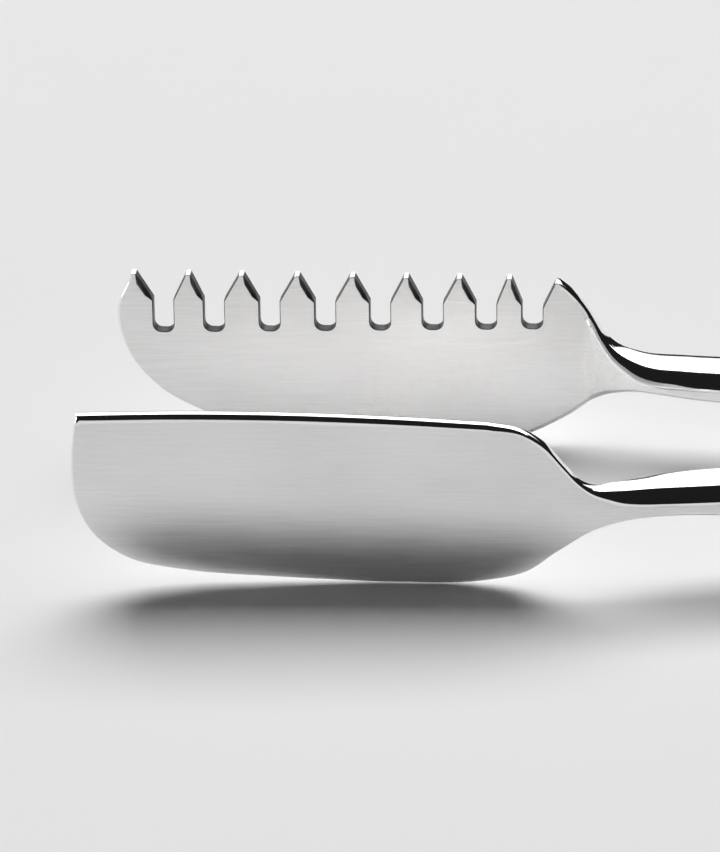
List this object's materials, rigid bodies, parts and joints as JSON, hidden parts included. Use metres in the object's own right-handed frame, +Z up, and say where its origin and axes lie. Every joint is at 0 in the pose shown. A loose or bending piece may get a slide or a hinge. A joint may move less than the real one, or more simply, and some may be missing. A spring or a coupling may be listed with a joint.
{
  "type": "ice tongs",
  "caption": "Spring-opened ice tongs lying on one side: a curled scoop blade facing a flat toothed comb, on slim round-topped handles pinned at a butt knuckle.",
  "frame": {"origin": "centre of the bounding box at its bottom, on the table that the tongs lie on", "axes": "+X from the jaws to the hinged butt, the longest extent; +Y across the opening, from the scoop to the comb; +Z up from the table, towards the teeth's points"},
  "size_m": [0.2006, 0.0428, 0.0251],
  "materials": {
    "arm_steel": "fine satin on the jaws and the handles' sides, mirror polish on the rounded edges",
    "pin_steel": "polished",
    "bush_bronze": "machined",
    "washer_plastic": "natural low-friction plastic",
    "spring_steel": "drawn wire"
  },
  "bodies": {
    "scoop_side": {"scoop_arm": "arm_steel", "hinge_pin": "pin_steel", "pin_collar": "pin_steel", "upper_washer": "washer_plastic", "lower_washer": "washer_plastic", "stop_pin": "pin_steel", "torsion_spring": "spring_steel"},
    "comb_side": {"comb_arm": "arm_steel", "hinge_bush": "bush_bronze"}
  },
  "joints": [
    {"name": "arm_hinge", "type": "hinge", "parent": "scoop_side", "child": "comb_side", "pos_m": [0.09256, -0.00034, 0.00835], "axis": [0.0346, 0.0319, 0.9989], "range_deg": [0, 11.2], "stiffness_Nm_per_rad": 0.064, "springref_deg": -89.95, "deforming": ["torsion_spring"]}
  ]
}
